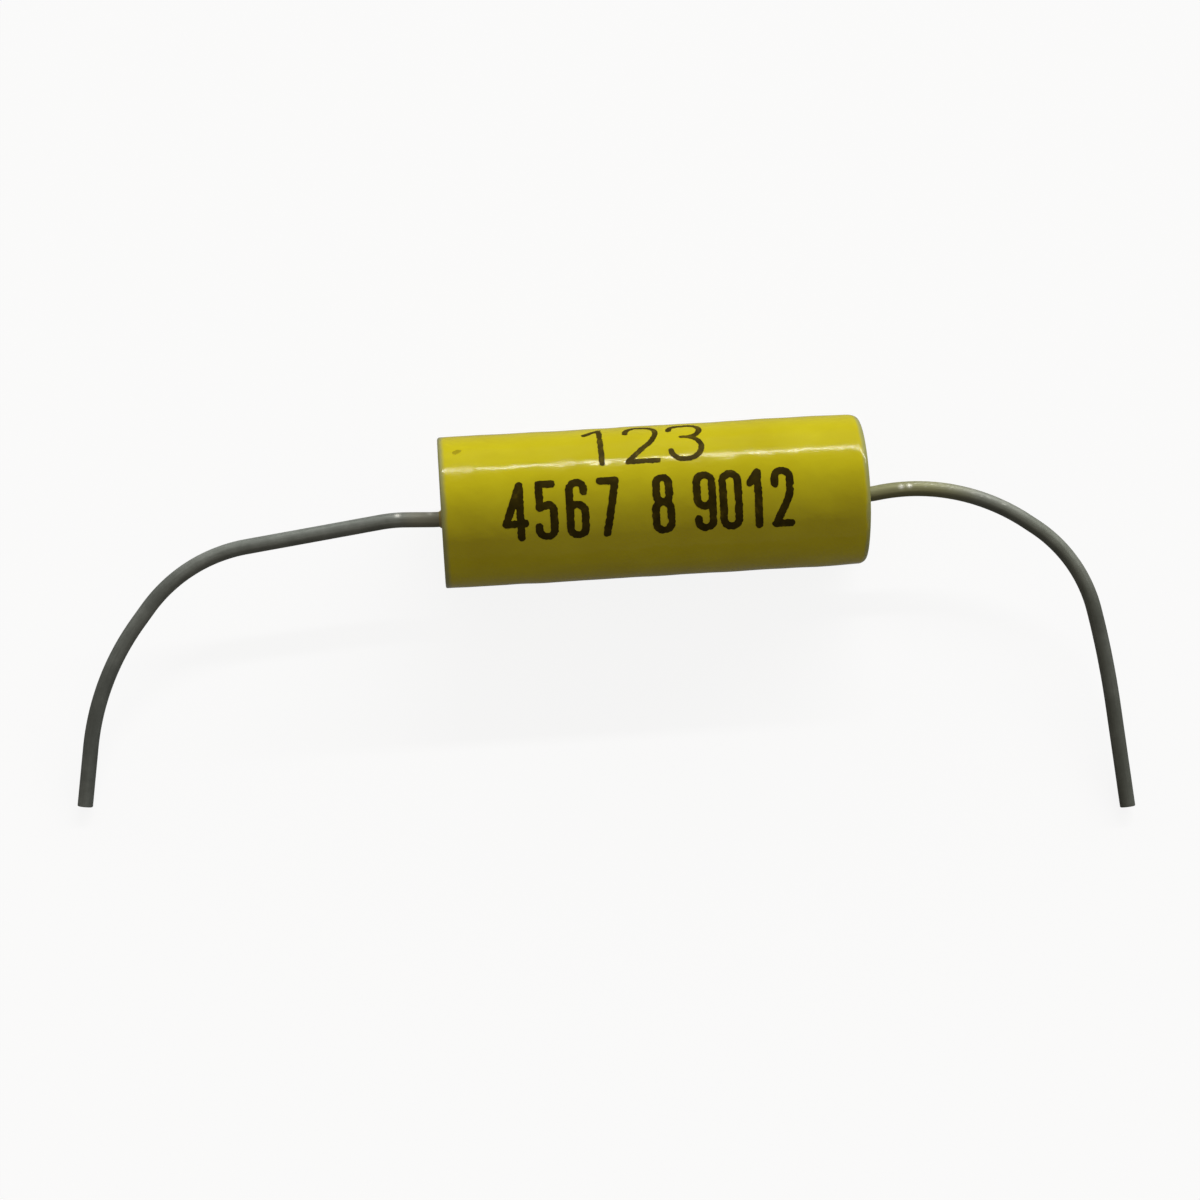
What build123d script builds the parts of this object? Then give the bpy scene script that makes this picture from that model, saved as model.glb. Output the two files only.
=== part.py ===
"""Axial film capacitor: a round film roll in a wound tape tube, resin ends and two bent wire leads.

The part lies on its side on z = 0: the tube along X, both lead tips on the ground towards -Y.
The origin is the middle of the rectangle that the part covers. Millimetres and degrees.
"""
from build123d import *
from math import asin, atan2, cos, hypot, sin, sqrt
import os

# Film roll
winding_length = 13.0
winding_diameter = 5.44
mandrel_bore = 1.2

# Zinc sprayed on the ends of the roll
contact_thickness = 0.35
contact_margin = 0.15      # bare film left round the zinc by the spray mask
contact_taper = 0.12       # width over which the sprayed layer thins out

# Polyester tape wound round the roll
tape_thickness = 0.07
tape_turns = 4
tape_edge_angle = -45      # where the outer end of the tape lies, from +Y towards +Z

# Lead wire
wire_diameter = 0.6
lead_offset = 0.22         # lead's line below the tube's axis, on the side it is bent to
foot_margin = 0.7          # zinc left past the end of the wire's foot
foot_sink = 0.08           # how deep the foot is welded into the zinc
rise_radius = 0.6          # where the wire turns from the zinc's face to the tube's axis
root_length = 0.48         # straight wire in the resin after that turn

# Epoxy fill at each end
rim_height = 0.1           # tape's edge stands this far past the resin
rim_creep = 0.35           # width over which the resin climbs the tape
collar_height = 0.28       # how far it climbs the wire
collar_wall = 0.06
collar_fillet = 0.24

# Leads outside the resin: the straight lengths and bend radii in order, from the tube to the tip
lift_length = 0.2
lift_radius = 3.0
left_neck_length = 1.0
left_dip_radius = 6.0
left_arm_length = 5.3
left_elbow_radius = 6.0
left_wrist_length = 0.7
left_fall_radius = 10.0
left_tip_length = 2.3
right_neck_length = 0.1
right_dip_radius = 7.9
right_arm_length = 0.4
right_elbow_radius = 5.5
right_wrist_length = 0.1
right_fall_radius = 36.0
right_tip_length = 4.0

# Each bend is the straight before it, its radius and its turn, which is negative where it bends down.
left_bends = [
    (lift_length, lift_radius, 3.0),
    (left_neck_length, left_dip_radius, -10.0),
    (left_arm_length, left_elbow_radius, -44.0),
    (left_wrist_length, left_fall_radius, -30.0),
]
right_bends = [
    (lift_length, lift_radius, 8.0),
    (right_neck_length, right_dip_radius, -44.5),
    (right_arm_length, right_elbow_radius, -43.0),
    (right_wrist_length, right_fall_radius, -6.0),
]
leads = {"left": (-1, left_bends, left_tip_length), "right": (1, right_bends, right_tip_length)}

# Worked out from the sizes above, along the tube from its middle or out from its axis
winding_radius = winding_diameter / 2
wire_radius = wire_diameter / 2
barrel_radius = winding_radius + tape_turns * tape_thickness
contact_radius = winding_radius - contact_margin
contact_flat = contact_radius - contact_taper
winding_end = winding_length / 2
zinc_face = winding_end + contact_thickness
foot_place = zinc_face - foot_sink + wire_radius
resin_face = foot_place + rise_radius + root_length
tape_end = resin_face + rim_height


def lead_line(bends, last):
    """Wire's centre line in its own plane, from the foot on the zinc to the tip; returns the tail."""
    rise_start = (foot_place, rise_radius - lead_offset)
    foot = Line((foot_place, contact_flat - foot_margin), rise_start)
    rise = JernArc(foot @ 1, foot % 1, rise_radius, 90)
    root = Line(rise @ 1, rise @ 1 + (rise % 1) * (root_length + rim_height))
    end, heading = root @ 1, root % 1
    for straight, radius, turn in bends:
        run = Line(end, end + heading * straight)
        bend = JernArc(run @ 1, run % 1, radius, turn)
        end, heading = bend @ 1, bend % 1
    return Line(end, end + heading * last)


def wound_outline():
    """A tape wound on itself: four quarter turns, each tighter by a quarter of the tape's thickness."""
    tape_edge = Vector(barrel_radius + tape_thickness / 8, -tape_thickness / 8)
    end, heading = tape_edge, Vector(0, 1)
    for quarter in range(4):
        turn = JernArc(end, heading, barrel_radius - quarter * tape_thickness / 4, 90)
        end, heading = turn @ 1, turn % 1
    Line(end, tape_edge)


# The tape tube's section, drawn flat about the axis, gives the height at which the axis lies.
with BuildSketch(Plane.XY.rotated((0, 0, tape_edge_angle))) as tape_section:
    with BuildLine():
        wound_outline()
    make_face()
    Circle(winding_radius, mode=Mode.SUBTRACT)
section_box = tape_section.sketch.bounding_box()
axis_height = -section_box.min.Y

# Each lead's line, drawn flat, gives the tilt that lays its tip on the ground and how far it reaches.
tilt = {}
side_reach = {}
front_reach = {}
for name, (side, bends, last) in leads.items():
    with BuildLine():
        tail = lead_line(bends, last)
    tip, heading = tail @ 1, tail % 1
    tilt[name] = asin(axis_height / hypot(tip.Y, wire_radius)) - atan2(wire_radius, -tip.Y)
    side_reach[name] = tip.X - wire_radius * heading.Y
    lean = heading.Y * cos(tilt[name])
    front_reach[name] = -tip.Y * cos(tilt[name]) + wire_radius * sqrt(1 - lean**2)

centre = Vector(
    (side_reach["left"] - side_reach["right"]) / 2,
    (max(front_reach.values()) - section_box.max.X) / 2,
    axis_height,
)
across = Plane(origin=centre, x_dir=(0, 1, 0), z_dir=(1, 0, 0))

os.makedirs("parts", exist_ok=True)

with BuildPart() as tape_wrap:
    with BuildSketch(across.offset(-tape_end)):
        add(tape_section.sketch)
    extrude(amount=2 * tape_end)
tape_wrap.part.label = "tape_wrap"
export_step(tape_wrap.part, "parts/tape_wrap.step")

with BuildPart() as film_winding:
    with BuildSketch(across.offset(-winding_end)):
        Circle(winding_radius)
        Circle(mandrel_bore / 2, mode=Mode.SUBTRACT)
    extrude(amount=winding_length)
film_winding.part.label = "film_winding"
export_step(film_winding.part, "parts/film_winding.step")

for name, (side, bends, last) in leads.items():
    # Local x points out of the tube's end; the lead's plane is tilted so that the wire runs down to its tip.
    outward = (side, 0, 0)
    half_section = Plane(origin=centre, x_dir=outward, z_dir=(0, -side, 0))
    lead_plane = Plane(
        origin=centre, x_dir=outward, z_dir=(0, -side * sin(tilt[name]), side * cos(tilt[name]))
    )
    lead_axis = Axis(lead_plane.from_local_coords((foot_place, -lead_offset, 0)), outward)

    with BuildPart() as lead:
        with BuildLine(lead_plane) as wire_line:
            lead_line(bends, last)
        with BuildSketch(Plane(origin=wire_line.line @ 0, z_dir=wire_line.line % 0)):
            Circle(wire_radius)
        sweep()
    lead.part.label = f"lead_{name}"
    export_step(lead.part, f"parts/lead_{name}.step")

    with BuildPart() as end_contact:
        with BuildSketch(half_section):
            with BuildLine():
                Polyline(
                    (winding_end, 0),
                    (winding_end, contact_radius),
                    (zinc_face, contact_flat),
                    (zinc_face, 0),
                    close=True,
                )
            make_face()
        revolve(axis=Axis(centre, outward))
        add(lead.part, mode=Mode.SUBTRACT)
    end_contact.part.label = f"end_contact_{name}"
    export_step(end_contact.part, f"parts/end_contact_{name}.step")

    with BuildPart() as resin_fill:
        with BuildSketch(half_section):
            with BuildLine():
                Polyline(
                    (zinc_face, 0),
                    (zinc_face, contact_flat),
                    (winding_end, contact_radius),
                    (winding_end, winding_radius),
                    (tape_end, winding_radius),
                    (resin_face, winding_radius - rim_creep),
                    (resin_face, 0),
                    close=True,
                )
            make_face()
        revolve(axis=Axis(centre, outward))
        with BuildSketch(Plane(origin=lead_axis.position, z_dir=outward)):
            Circle(wire_radius + collar_wall)
        extrude(amount=resin_face + collar_height - foot_place)
        collar_foot = resin_fill.edges(Select.LAST).sort_by(lead_axis)[0]
        fillet(collar_foot, collar_fillet)
        add(lead.part, mode=Mode.SUBTRACT)
    resin_fill.part.label = f"resin_fill_{name}"
    export_step(resin_fill.part, f"parts/resin_fill_{name}.step")
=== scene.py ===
# %% [markdown]
# # An axial film capacitor
#
# The real part is a roll of thin metallised film. Zinc is sprayed on both ends of the roll, a
# tinned wire is welded to each zinc face, yellow polyester tape is wound round the roll, and
# epoxy is poured into both ends of the tape tube. It lies on a table on its side, with both
# wires bent to the same side.
#
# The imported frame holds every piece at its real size. This notebook makes what a viewer sees:
# the wound tape and its print, the wires and the resin, then their finishes, the floor, the
# light and the camera. It works in metres, so every size in millimetres is multiplied by MM.

# %% Load the frame
import bmesh
import bpy
import numpy as np
from math import asin, atan2, cos, degrees, hypot, pi, radians, sin, tau
from mathutils import Matrix, Vector, noise


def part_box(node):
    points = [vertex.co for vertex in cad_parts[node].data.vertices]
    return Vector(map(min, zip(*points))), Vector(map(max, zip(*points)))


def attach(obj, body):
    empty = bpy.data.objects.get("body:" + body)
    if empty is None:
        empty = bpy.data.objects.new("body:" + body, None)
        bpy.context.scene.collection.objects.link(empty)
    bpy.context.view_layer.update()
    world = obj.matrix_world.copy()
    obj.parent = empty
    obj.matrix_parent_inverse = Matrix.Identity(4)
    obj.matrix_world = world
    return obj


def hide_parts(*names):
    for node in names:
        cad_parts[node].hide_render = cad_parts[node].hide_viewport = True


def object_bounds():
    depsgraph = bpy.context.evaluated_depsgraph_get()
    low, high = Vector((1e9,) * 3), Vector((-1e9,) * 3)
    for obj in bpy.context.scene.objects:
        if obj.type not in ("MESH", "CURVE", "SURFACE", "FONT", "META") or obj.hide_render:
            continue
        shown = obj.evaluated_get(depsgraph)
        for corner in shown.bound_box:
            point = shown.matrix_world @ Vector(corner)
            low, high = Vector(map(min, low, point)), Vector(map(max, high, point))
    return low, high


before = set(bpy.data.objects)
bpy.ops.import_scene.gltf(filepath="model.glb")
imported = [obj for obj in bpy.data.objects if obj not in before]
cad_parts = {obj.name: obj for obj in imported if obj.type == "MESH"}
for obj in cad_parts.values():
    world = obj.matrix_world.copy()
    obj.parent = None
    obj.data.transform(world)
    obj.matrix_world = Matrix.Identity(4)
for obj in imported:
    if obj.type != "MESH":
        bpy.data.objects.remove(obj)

MM = 0.001
cad_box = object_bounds()
print("CAD box in mm:", [[round(v / MM, 3) for v in corner] for corner in cad_box])

# %% [markdown]
# ## Where the tube lies
#
# The film roll is a plain cylinder, so the middle of its box is the middle of the tube, and the
# tape's box gives the tube's length. The other sizes are the maker's own: the tape's thickness,
# its four turns and the angle at which its outer edge lies.

# %% Places and sizes of the tube
roll_low, roll_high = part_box("film_winding")
tape_low, tape_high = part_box("tape_wrap")
middle = (roll_low + roll_high) / 2
roll_end = (roll_high.x - roll_low.x) / 2
tube_end = (tape_high.x - tape_low.x) / 2

roll_radius = 2.72 * MM
tape_thickness = 0.07 * MM
tape_turns = 4
tape_edge_angle = radians(-45)  # from +Y towards +Z, so low on the side away from the camera
barrel_radius = roll_radius + tape_turns * tape_thickness
print(f"tube {2 * tube_end / MM:.2f} mm long and {2 * barrel_radius / MM:.2f} mm thick")

# %% [markdown]
# ## Turning points into a piece
#
# Every skin here is a grid: rows of points that run round a section, joined by quads. A grid
# could come from a screw or a bevelled curve, but points worked out by a formula let the same
# formula place the print on the tape to a thousandth of a millimetre. Points that fall together
# are welded, and edges sharper than a set angle keep a hard shade.

# %% Grid and piece helpers
weld_distance = 0.0001 * MM


def grid_faces(rows, columns, close_rows=True):
    """Quads over rows of points that each close on themselves."""
    last = rows if close_rows else rows - 1
    return [
        (
            row * columns + column,
            row * columns + (column + 1) % columns,
            (row + 1) % rows * columns + (column + 1) % columns,
            (row + 1) % rows * columns + column,
        )
        for row in range(last)
        for column in range(columns)
    ]


def new_piece(name, points, faces, slot, hard_edge=35, laid_straight=None, bared=None):
    """A shaded mesh of these points that rides on the capacitor's only body."""
    mesh = bpy.data.meshes.new(name)
    mesh.from_pydata(points, [], faces)
    if laid_straight:
        straight = mesh.attributes.new("laid_straight", "FLOAT_VECTOR", "POINT")
        straight.data.foreach_set("vector", [number for point in laid_straight for number in point])
        mesh.attributes.new("bared", "FLOAT", "POINT").data.foreach_set("value", bared)
    welded = bmesh.new()
    welded.from_mesh(mesh)
    bmesh.ops.remove_doubles(welded, verts=welded.verts, dist=weld_distance)
    bmesh.ops.recalc_face_normals(welded, faces=welded.faces)
    welded.to_mesh(mesh)
    welded.free()
    mesh.shade_smooth()
    mesh.set_sharp_from_angle(angle=radians(hard_edge))
    piece = bpy.data.objects.new(name, mesh)
    bpy.context.scene.collection.objects.link(piece)
    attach(piece, "root")
    print(f"{name}: {len(mesh.polygons)} faces")
    return piece


print(f"points closer than {weld_distance / MM:.4f} mm are welded")

# %% [markdown]
# ## The wound tape
#
# The tape goes round four times, so its outside is a spiral with a small step where the outer
# edge is stuck down. Film pulled tight over a roll is never quite round: slow waves a few
# hundredths of a millimetre deep make its highlight wander, and quick ones break it into beads.
# A plain cylinder with a bump map would lose the step and the waves in the exported mesh, so
# both are modelled. The waves only ever go inwards, so the tube never outgrows the solid one.

# %% The tape's surface as a formula
slow_wave, slow_depth = 4.0 * MM, 0.034 * MM
quick_wave, quick_depth = 1.0 * MM, 0.018 * MM


def tape_radius(along, turned):
    """Outer radius where the tape has turned this share of a turn from its outer edge."""
    angle = tape_edge_angle + turned * tau
    ring = Vector((0, cos(angle), sin(angle))) * barrel_radius
    place = Vector((along, 0, 0)) + ring
    slow = 0.5 + noise.noise(place / slow_wave)
    quick = 0.5 + noise.noise(place / quick_wave)
    wave = slow_depth * max(slow, 0) + quick_depth * max(quick, 0)
    return barrel_radius + tape_thickness * (1 / 8 - turned) - wave


def tape_point(along, turned, wall=1.0, lift=0.0):
    """Point in the tape's wall, which is 0 at the bore and 1 outside, plus a lift off it."""
    angle = tape_edge_angle + turned * tau
    radius = roll_radius + wall * (tape_radius(along, turned) - roll_radius) + lift
    return middle + Vector((along, radius * cos(angle), radius * sin(angle)))


print(f"step at the tape's edge: {tape_thickness / MM:.2f} mm")

# %% [markdown]
# The tape is wider than the roll and stands a little past the resin. Its left edges are nearly
# square. On the right the free edges were pressed inwards and make a soft shoulder. On both
# ends the four turns show as fine grooves, each turn a little out of line with the next.

# %% Ends of the tape
shoulder_steps = 8
turn_groove = 0.012 * MM  # depth of the groove between two turns
groove_share = 0.04  # half its width, as a share of the tape's whole wall


def tape_end_profile(drawn_back, curl):
    """Points (back from the end, place in the wall). The shoulder takes up curl of the wall."""
    profile = []
    for step in range(shoulder_steps + 1):
        a = pi / 2 * step / shoulder_steps
        profile.append((drawn_back * (1 - sin(a)), 1 - curl * (1 - cos(a))))
    for turn in range(tape_turns - 1, 0, -1):
        wall = turn / tape_turns
        if wall < 1 - curl:
            profile += [(0, wall + groove_share), (turn_groove, wall), (0, wall - groove_share)]
    return profile + [(0, groove_share), (turn_groove, 0)]


left_profile = tape_end_profile(0.12 * MM, 0.35)
right_profile = tape_end_profile(0.42 * MM, 0.85)
print("points across the wall:", len(left_profile), "left and", len(right_profile), "right")

# %% The tape's section along the tube
along_steps = 120
barrel_from = -tube_end + left_profile[0][0]
barrel_to = tube_end - right_profile[0][0]

section = [(-tube_end + back, wall, back) for back, wall in reversed(left_profile[1:])]
section += [
    (barrel_from + (barrel_to - barrel_from) * step / along_steps, 1, 1)
    for step in range(along_steps + 1)
]
section += [(tube_end - back, wall, back) for back, wall in right_profile[1:]]
print(f"section of {len(section)} points, barrel {(barrel_to - barrel_from) / MM:.2f} mm long")

# %% [markdown]
# Two things keep the ends from looking turned on a lathe. The free edges were pressed in more
# on one side of the tube than on the other, and each turn ends a few hundredths of a millimetre
# short of its neighbour, which noise read at a different place for every turn gives.

# %% Wound tape
around = 300
pressed_side = radians(13)  # where round the tube the edges were pressed in most
pressed_mean, pressed_swing = 0.82, 0.18
edge_scatter = 0.02 * MM
ring_waves = 1.5  # how quickly the scatter changes round the tube
turn_shift = 3.7  # sets the scatter of one turn apart from the next


def pressed_end(along, wall, back, angle):
    """Place along the tube of a point in the tape's end, pressed in and a little out of line."""
    layer = round(wall * tape_turns)
    spot = Vector((cos(angle) * ring_waves, sin(angle) * ring_waves, turn_shift * layer + along / MM))
    out_of_line = 0.5 + 0.5 * noise.noise(spot)
    pressed = pressed_mean + pressed_swing * cos(angle - pressed_side)
    end = 1 if along > 0 else -1
    return end * (tube_end - back * pressed - edge_scatter * out_of_line)


tape_points = []
for along, wall, back in section:
    for column in range(around + 1):
        turned = column / around
        angle = tape_edge_angle + turned * tau
        along_here = pressed_end(along, wall, back, angle) if wall < 1 else along
        tape_points.append(tape_point(along_here, turned, wall))

tape = new_piece("wound_tape", tape_points, grid_faces(len(section), around + 1), "yellow_tape")
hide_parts("tape_wrap")

# %% [markdown]
# ## The print
#
# The real tube is stamped with dark ink. Here the stamp holds plain running digits in two rows
# of the same sizes. Blender's own font could be rolled round the tube, but a stamp's digits are
# pen lines of one width with round bends. So each digit is drawn as straight strokes in a box
# one wide and one high, which the 4 may leave a little, and every corner is rounded as far as
# its strokes allow. A 0 after a point keeps that corner sharp.

# %% Pen strokes of the ten digits
digit_strokes = {
    "0": [[(0, 0.5), (0, 1), (1, 1), (1, 0), (0, 0), (0, 0.5)]],
    "1": [[(0.1, 0.8), (0.6, 1, 0), (0.6, 0)]],
    "2": [[(0, 0.76), (0, 1), (1, 1), (1, 0.56), (0, 0, 0), (1, 0)]],
    "3": [
        [(0, 0.8), (0, 1), (1, 1), (1, 0.54), (0.4, 0.54)],
        [(0.4, 0.54), (1, 0.54), (1, 0), (0, 0), (0, 0.2)],
    ],
    "4": [[(0.86, 0), (0.86, 1, 0), (-0.1, 0.28, 0), (1.15, 0.28)]],
    "5": [[(0.92, 1), (0.08, 1, 0), (0.08, 0.56, 0), (1, 0.64), (1, 0), (0, 0), (0, 0.2)]],
    "6": [[(0.95, 0.82), (0.95, 1), (0, 1), (0, 0), (1, 0), (1, 0.58), (0, 0.58), (0, 0.4)]],
    "7": [[(0, 1), (1, 1, 0), (0.32, 0)]],
    "8": [
        [(0.5, 0.54), (0.08, 0.54), (0.08, 1), (0.92, 1), (0.92, 0.54), (0.5, 0.54)],
        [(0.5, 0.54), (0, 0.54), (0, 0), (1, 0), (1, 0.54), (0.5, 0.54)],
    ],
}
digit_strokes["9"] = [[(1 - x, 1 - y) for x, y in stroke] for stroke in digit_strokes["6"]]
arc_steps = 8
arc_weight = cos(pi / 4)  # makes a square corner a true quarter circle


def rounded(stroke, width, height):
    """The stroke at its real size as close points, its corners rounded up to half the width."""
    points = [Vector((x * width, y * height)) for x, y, *sharp in stroke]
    line = [points[0]]
    for place in range(1, len(points) - 1):
        before, corner, after = points[place - 1:place + 2]
        if len(stroke[place]) == 3:
            line.append(corner)
            continue
        room = [
            (neighbour - corner).length / (1 if end else 2)
            for neighbour, end in ((before, place == 1), (after, place == len(points) - 2))
        ]
        reach = min(width / 2, *room)
        start = corner + (before - corner).normalized() * reach
        finish = corner + (after - corner).normalized() * reach
        for step in range(arc_steps + 1):
            t = step / arc_steps
            shares = ((1 - t) ** 2, 2 * t * (1 - t) * arc_weight, t**2)
            line.append((start * shares[0] + corner * shares[1] + finish * shares[2]) / sum(shares))
    return line + [points[-1]]


print("digits:", " ".join(sorted(digit_strokes)))

# %% [markdown]
# A row of print is laid out flat first, in millimetres: along the tube from its middle, and
# round it from the line that faces the camera. Then the ink becomes a fine grid. Each grid
# point is asked how far it is from the nearest pen line. Cells within half a pen's width are
# kept, and the points on the border are slid to where the ink really ends. A little noise in
# that width gives the ragged edge and bare spots of a rubber stamp.

# %% Layout and ink helpers
camera_lean = radians(13.1)  # the camera looks down from this far off straight above
facing_angle = pi / 2 + camera_lean
ink_cell = 0.03 * MM
ink_thickness = 0.006 * MM
ink_root = 0.004 * MM  # how far the ink's underside is sunk in the tape


def lay_out(groups, width, height, base, pen):
    """Pen lines for groups of (digits, first digit's left edge, pitch) in mm. Sizes include the pen."""
    lines = []
    for digits, start, pitch in groups:
        for place, digit in enumerate(digits):
            corner = Vector((start * MM + place * pitch * MM + pen / 2, base + pen / 2))
            lines += [
                [corner + point for point in rounded(stroke, width - pen, height - pen)]
                for stroke in digit_strokes[digit]
            ]
    return lines


print(f"ink film: {ink_thickness / MM:.3f} mm thick on a grid of {ink_cell / MM:.2f} mm")

# %% How far each place is outside the ink
ragged_spacing = 0.12 * MM  # size of the bites in the ink's edge
bare_spacing = 0.35 * MM  # size of the spots that took no ink
bare_from = 0.42  # noise above this leaves a bare spot
bare_slice = Vector((0, 0, 9))  # reads that noise away from the edge's own
shortest = 0.001 * MM  # no pen line counts as shorter


def ink_depth(lines, pen, ragged, bare):
    """Grid of places and how far each one is outside the ink."""
    ends = np.array([line[i:i + 2] for line in lines for i in range(len(line) - 1)])
    low, high = ends.min((0, 1)) - pen, ends.max((0, 1)) + pen
    u, v = np.meshgrid(*[np.arange(a, b, ink_cell) for a, b in zip(low, high)], indexing="ij")
    depth = np.full(u.shape, np.inf)
    for (ax, ay), (bx, by) in ends:
        squared = max((bx - ax) ** 2 + (by - ay) ** 2, shortest**2)
        t = np.clip(((u - ax) * (bx - ax) + (v - ay) * (by - ay)) / squared, 0, 1)
        depth = np.minimum(depth, np.hypot(u - ax - t * (bx - ax), v - ay - t * (by - ay)))
    for i, j in np.ndindex(u.shape):
        if depth[i, j] < pen:
            place = Vector((u[i, j], v[i, j], 0))
            rough = noise.noise(place / ragged_spacing) * ragged
            worn = max(noise.noise(place / bare_spacing + bare_slice) - bare_from, 0) * bare
            depth[i, j] += (rough + worn) * pen
    return u, v, depth - pen / 2


print(f"bites of {ragged_spacing / MM:.2f} mm and bare spots of {bare_spacing / MM:.2f} mm")

# %% [markdown]
# The kept cells become a closed film: a top that lies on the tape, an underside sunk a little
# way into it, and sides round every border. Both sheets are laid with the tape's own formula,
# so the ink follows the tape's waves.

# %% The stamp
gentlest = 0.25  # least squared slope that the border is slid along


def stamp(name, lines, pen, ragged, bare=0.0):
    """A thin closed film of ink on the tape, from flat pen lines."""
    u, v, depth = ink_depth(lines, pen, ragged, bare)
    kept = (depth[:-1, :-1] + depth[1:, :-1] + depth[1:, 1:] + depth[:-1, 1:]) < 0
    count = np.zeros(u.shape, int)
    for i, j in ((0, 0), (1, 0), (1, 1), (0, 1)):
        count[i:i + kept.shape[0], j:j + kept.shape[1]] += kept
    slope_u, slope_v = np.gradient(depth, ink_cell)
    steep = np.maximum(slope_u**2 + slope_v**2, gentlest)
    border = (count > 0) & (count < 4)
    slide = np.where(border, np.clip(depth / steep, -ink_cell / 2, ink_cell / 2), 0)
    u, v = u - slide * slope_u, v - slide * slope_v
    place = {}
    points = []
    for i, j in zip(*np.nonzero(count)):
        turned = (facing_angle - v[i, j] / barrel_radius - tape_edge_angle) / tau % 1
        place[i, j] = len(points)
        points.append((u[i, j], turned))
    faces = [
        (place[i, j], place[i + 1, j], place[i + 1, j + 1], place[i, j + 1])
        for i, j in zip(*np.nonzero(kept))
    ]
    top = [tape_point(along, turned, lift=ink_thickness) for along, turned in points]
    under = [tape_point(along, turned, lift=-ink_root) for along, turned in points]
    rim = {}
    for face in faces:
        for a, b in zip(face, face[1:] + face[:1]):
            rim[a, b] = rim.get((a, b), 0) + 1
    sides = [(b, a, a + len(points), b + len(points)) for a, b in rim if (b, a) not in rim]
    undersides = [tuple(p + len(points) for p in reversed(face)) for face in faces]
    return new_piece(name, top + under, faces + undersides + sides, "yellow_tape", hard_edge=60)


print(f"the ink's border slides up to {ink_cell / 2 / MM:.3f} mm")

# %% Two rows of digits and a fleck of ink
upper_pen = 0.22 * MM
lower_pen = 0.3 * MM
fleck_pen = 0.2 * MM

upper_groups = [("123", -2.8, 1.7)]
lower_groups = [("4567", -5.88, 1.2), ("8", -0.2, 1.0), ("9012", 1.4, 1.0)]
upper_lines = lay_out(upper_groups, width=1.4 * MM, height=2.4 * MM, base=1.46 * MM, pen=upper_pen)
lower_lines = lay_out(lower_groups, width=0.88 * MM, height=2.38 * MM, base=-1.41 * MM, pen=lower_pen)
fleck_lines = [[Vector((-7.58, 2.6)) * MM, Vector((-7.45, 2.66)) * MM]]

stamp("upper_print", upper_lines, upper_pen, ragged=0.12, bare=0.9)
stamp("lower_print", lower_lines, lower_pen, ragged=0.1, bare=0.5)
stamp("ink_fleck", fleck_lines, fleck_pen, ragged=0.5)

# %% [markdown]
# ## The leads
#
# Each lead is tinned wire, bent by hand. A bender writes that down as a table: go straight so
# far, then turn so much at that radius. The same table as in the solid model is walked here in
# small steps, and each step gets a ring of points. A bevelled curve would be quicker, but rings
# can be pinched where the pliers held the wire.

# %% Bend tables
wire_radius = 0.3 * MM
lead_offset = 0.22 * MM  # the wire leaves the tube this far to the bent side of its axis
foot_length = 1.37 * MM  # straight stretch welded flat on the zinc
rise_radius = 0.6 * MM

# Side, bends and straight tip. A bend is (straight before it, radius, turn) in millimetres and
# degrees, and its turn is negative where the wire bends down.
bend_tables = {
    "left": (-1, [(0.2, 3.0, 3.0), (1.0, 6.0, -10.0), (5.3, 6.0, -44.0), (0.7, 10.0, -30.0)], 2.3),
    "right": (1, [(0.2, 3.0, 8.0), (0.1, 7.9, -44.5), (0.4, 5.5, -43.0), (0.1, 36.0, -6.0)], 4.0),
}
walk_step = 0.08 * MM


def walk(point, heading, moves):
    """Centre line of a wire: points with their headings, over (straight, radius, turn) moves."""
    line = [(point, heading)]
    for straight, radius, turn in moves:
        steps = max(round(straight / walk_step), 1)
        for step in range(steps):
            point = point + Vector((cos(heading), sin(heading))) * straight / steps
            line.append((point, heading))
        steps = max(round(abs(turn) * radius / walk_step), 2) if turn else 0
        for step in range(steps):
            chord = 2 * radius * sin(abs(turn) / steps / 2)
            mid_heading = heading + turn / steps / 2
            point = point + Vector((cos(mid_heading), sin(mid_heading))) * chord
            heading += turn / steps
            line.append((point, heading))
    return line


print(f"walked in steps of {walk_step / MM:.2f} mm")

# %% Centre lines of the leads
lead_lines = {}
inside_tube = {}  # length of wire before the tube's end
for name, (side, bends, tip_length) in bend_tables.items():
    lead_low, lead_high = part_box(f"lead_{name}")
    inner_x = lead_low.x if side > 0 else lead_high.x
    foot_place = side * (inner_x - middle.x) + wire_radius
    root = tube_end - foot_place - rise_radius
    inside_tube[name] = foot_length + rise_radius * pi / 2 + root
    foot_start = Vector((foot_place, rise_radius - lead_offset + foot_length))
    moves = [(foot_length, rise_radius, pi / 2), (root, 0, 0)]
    moves += [(straight * MM, radius * MM, radians(turn)) for straight, radius, turn in bends]
    lead_lines[name] = walk(foot_start, -pi / 2, moves + [(tip_length * MM, 0, 0)])
    tip = lead_lines[name][-1][0]
    print(name, f"lead: {len(lead_lines[name])} points, tip {-tip.y / MM:.2f} mm below the tube's axis")

# %% [markdown]
# Each lead lies in a plane through the tube's axis, tilted so that its tip touches the floor.
# The tilt follows from how far the tip reaches and how high the axis lies.

# %% Tilt of the leads
lead_tilts = {}
axis_height = middle.z - cad_box[0].z
for name, line in lead_lines.items():
    drop = -line[-1][0].y
    tilt = asin(axis_height / hypot(drop, wire_radius)) - atan2(wire_radius, drop)
    lead_tilts[name] = tilt
    print(f"{name} lead tilted {degrees(tilt):.2f} degrees")

# %% [markdown]
# Two things are written down at every point of the wire, for its finish to read. One is where
# the point would lie if the wire were straight, so that marks from the drawing die run along
# the wire round every bend. The other is how much bare tin shows, where pliers nipped the oxide
# off or rubbed along it.

# %% Where the tin is bare
nip_size = 0.09 * MM

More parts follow.
